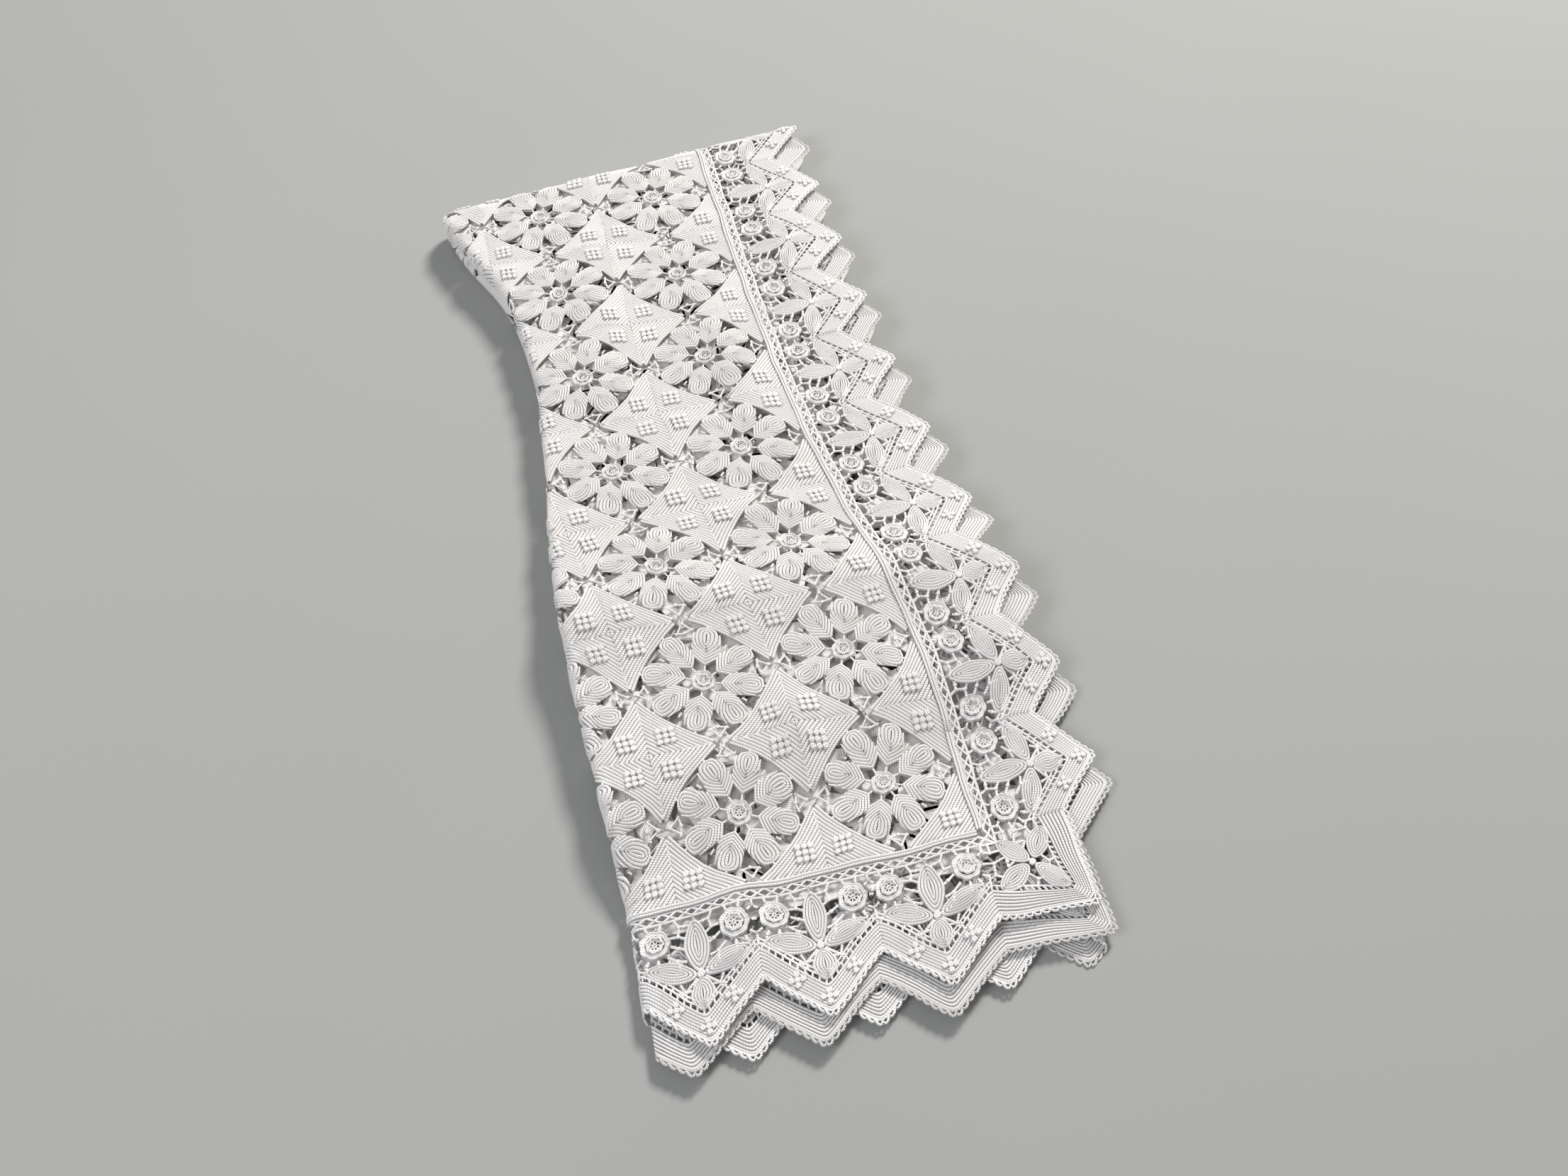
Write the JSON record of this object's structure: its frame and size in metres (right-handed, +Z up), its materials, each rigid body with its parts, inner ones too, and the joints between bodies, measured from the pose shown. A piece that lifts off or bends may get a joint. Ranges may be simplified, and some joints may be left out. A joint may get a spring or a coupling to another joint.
{
  "type": "folded crochet bedspread",
  "caption": "White cotton crochet bedspread of ribbed diamonds and flower squares with a pointed floral edging, folded into a long strip that lies flat.",
  "frame": {"origin": "middle of the folded bedspread's box, on the surface that it lies on", "axes": "+Y along the strip, from its pointed near end to the fold at its far end; +Z up out of the surface; +X to the right, where the edging's long side lies"},
  "size_m": [0.6062, 1.382, 0.0645],
  "materials": {
    "square_cotton": "matt white cotton crochet with raised ribs and bobbles",
    "edging_cotton": "matt white cotton crochet with raised leaves, roses and ribbed points"
  },
  "bodies": {
    "root": {"joined_squares": "square_cotton", "edging": "edging_cotton"}
  },
  "joints": []
}
